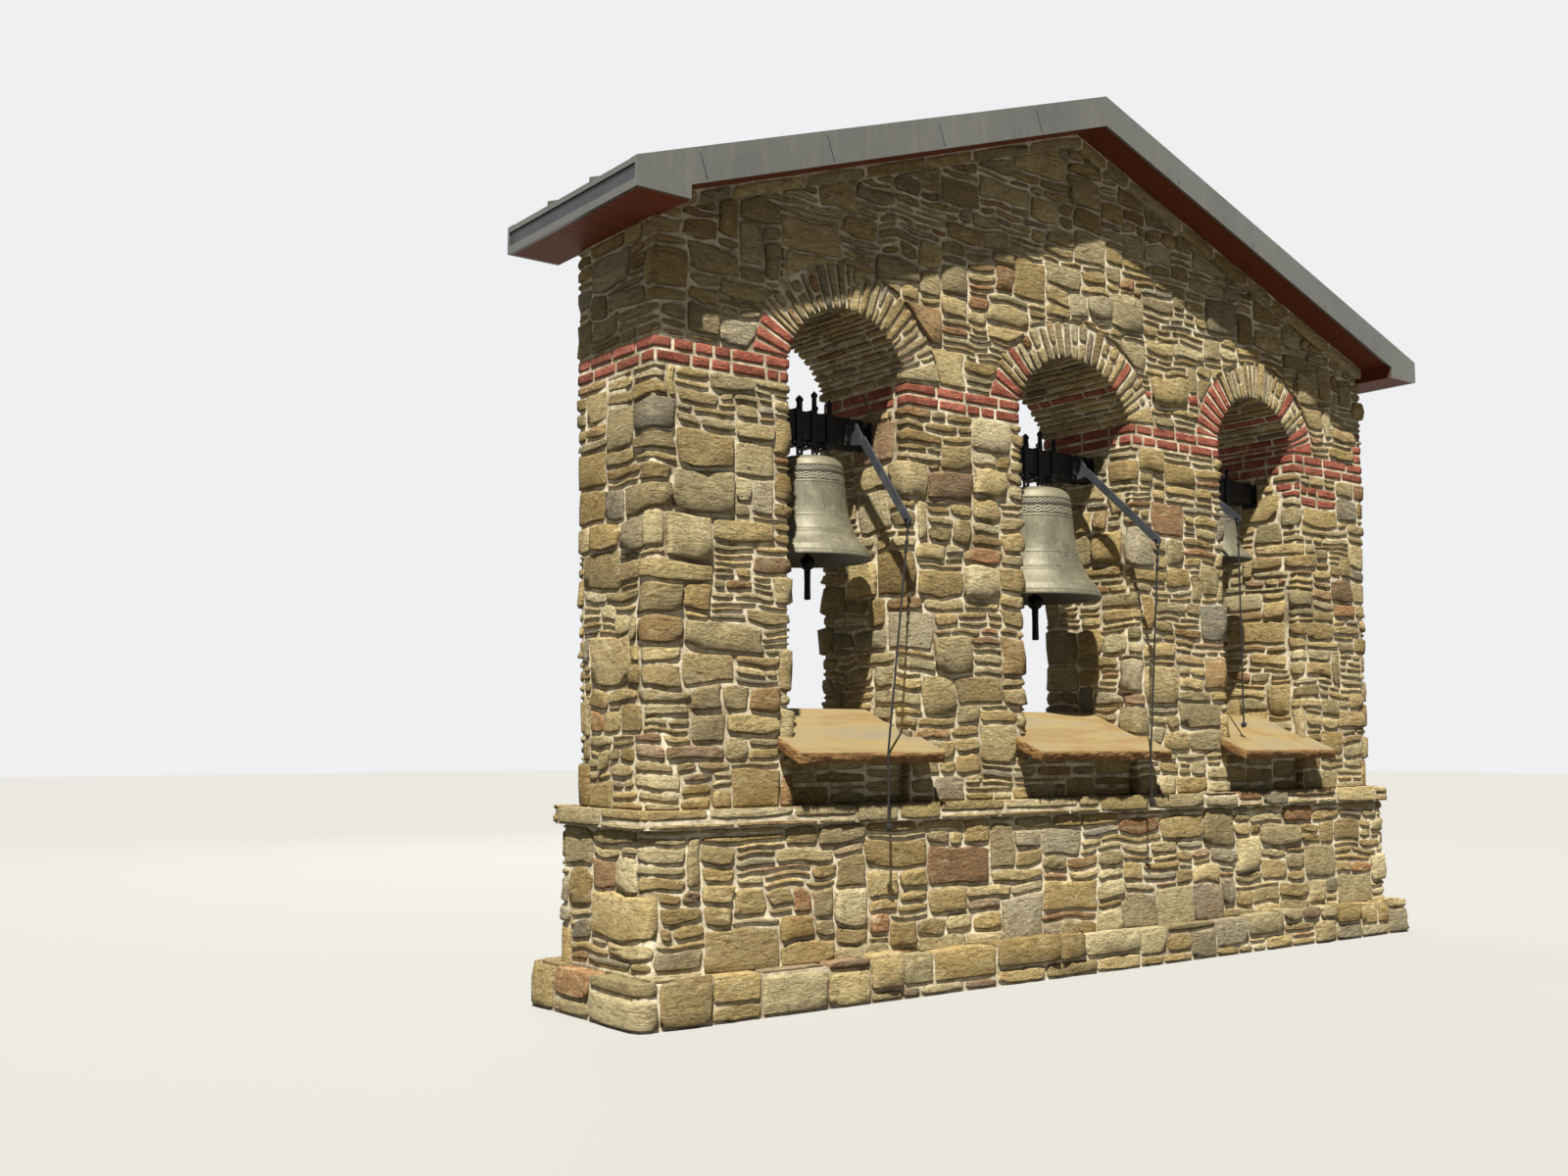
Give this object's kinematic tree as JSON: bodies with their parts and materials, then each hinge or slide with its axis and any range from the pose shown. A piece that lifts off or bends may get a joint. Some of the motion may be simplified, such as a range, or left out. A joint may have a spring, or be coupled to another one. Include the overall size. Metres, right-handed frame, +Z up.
{
  "type": "bell tower",
  "caption": "Free-standing rubble-stone bell wall with arched openings, red brick bands, a low metal-edged gable roof and swinging bells with clappers, levers and ropes.",
  "frame": {"origin": "on the ground under the middle of the wall", "axes": "+X along the wall, front of the wall towards -Y, +Z up"},
  "size_m": [7.286, 1.499, 5.7348],
  "materials": {
    "rubble_stone": "rough sandstone in pale mortar",
    "red_brick": "matt red brick",
    "sill_stone": "sawn banded sandstone",
    "stained_boards": "stained boards",
    "grey_sheet_metal": "satin coated sheet",
    "dark_sheet_metal": "satin coated sheet",
    "bell_bronze": "weathered grey-green bronze",
    "black_painted_iron": "black paint",
    "grey_painted_steel": "dark grey paint",
    "black_rope": "laid rope"
  },
  "bodies": {
    "tower": {"plinth": "rubble_stone", "base_wall": "rubble_stone", "ledge_course": "rubble_stone", "pier_left": "rubble_stone", "pier_middle_left": "rubble_stone", "pier_middle_right": "rubble_stone", "pier_right": "rubble_stone", "brick_bands": "red_brick", "arch_ring_left": "rubble_stone", "arch_ring_centre": "rubble_stone", "arch_ring_right": "rubble_stone", "spandrel_wall": "rubble_stone", "gable_wall": "rubble_stone", "sills": "sill_stone", "aprons": "rubble_stone", "raking_courses": "rubble_stone", "roof_core": "stained_boards", "soffit_boards": "stained_boards", "eave_boxes": "stained_boards", "eave_boards": "dark_sheet_metal", "eave_strips": "grey_sheet_metal", "roof_sheet_left": "grey_sheet_metal", "roof_sheet_right": "grey_sheet_metal", "ridge_cap": "grey_sheet_metal", "verge_fascia_front": "grey_sheet_metal", "verge_fascia_back": "grey_sheet_metal", "bearings_1": "black_painted_iron", "rope_1": "black_rope", "bearings_2": "black_painted_iron", "rope_2": "black_rope", "bearings_3": "black_painted_iron", "rope_3": "black_rope"},
    "bell_1_swing": {"bell_1": "bell_bronze", "headstock_1": "black_painted_iron", "straps_1": "black_painted_iron", "lever_1": "grey_painted_steel", "shackle_1": "black_painted_iron"},
    "bell_1_clapper": {"clapper_1": "black_painted_iron"},
    "bell_2_swing": {"bell_2": "bell_bronze", "headstock_2": "black_painted_iron", "straps_2": "black_painted_iron", "lever_2": "grey_painted_steel", "shackle_2": "black_painted_iron"},
    "bell_2_clapper": {"clapper_2": "black_painted_iron"},
    "bell_3_swing": {"bell_3": "bell_bronze", "headstock_3": "black_painted_iron", "straps_3": "black_painted_iron", "lever_3": "grey_painted_steel", "shackle_3": "black_painted_iron"},
    "bell_3_clapper": {"clapper_3": "black_painted_iron"}
  },
  "joints": [
    {"name": "bell_1_swing", "type": "hinge", "parent": "tower", "child": "bell_1_swing", "pos_m": [-1.97, 0, 3.36], "axis": [1, 0, 0], "range_deg": [-40, 40], "deforming": ["rope_1"]},
    {"name": "clapper_1_swing", "type": "hinge", "parent": "bell_1_swing", "child": "bell_1_clapper", "pos_m": [-1.97, 0, 3.0663], "axis": [1, 0, 0], "range_deg": [-28.7, 28.7]},
    {"name": "bell_2_swing", "type": "hinge", "parent": "tower", "child": "bell_2_swing", "pos_m": [0, 0, 3.36], "axis": [1, 0, 0], "range_deg": [-40, 40], "deforming": ["rope_2"]},
    {"name": "clapper_2_swing", "type": "hinge", "parent": "bell_2_swing", "child": "bell_2_clapper", "pos_m": [0, 0, 3.0517], "axis": [1, 0, 0], "range_deg": [-27.5, 27.5]},
    {"name": "bell_3_swing", "type": "hinge", "parent": "tower", "child": "bell_3_swing", "pos_m": [1.97, 0, 3.36], "axis": [1, 0, 0], "range_deg": [-40, 40], "deforming": ["rope_3"]},
    {"name": "clapper_3_swing", "type": "hinge", "parent": "bell_3_swing", "child": "bell_3_clapper", "pos_m": [1.97, 0, 3.1335], "axis": [1, 0, 0], "range_deg": [-32.3, 32.3]}
  ]
}
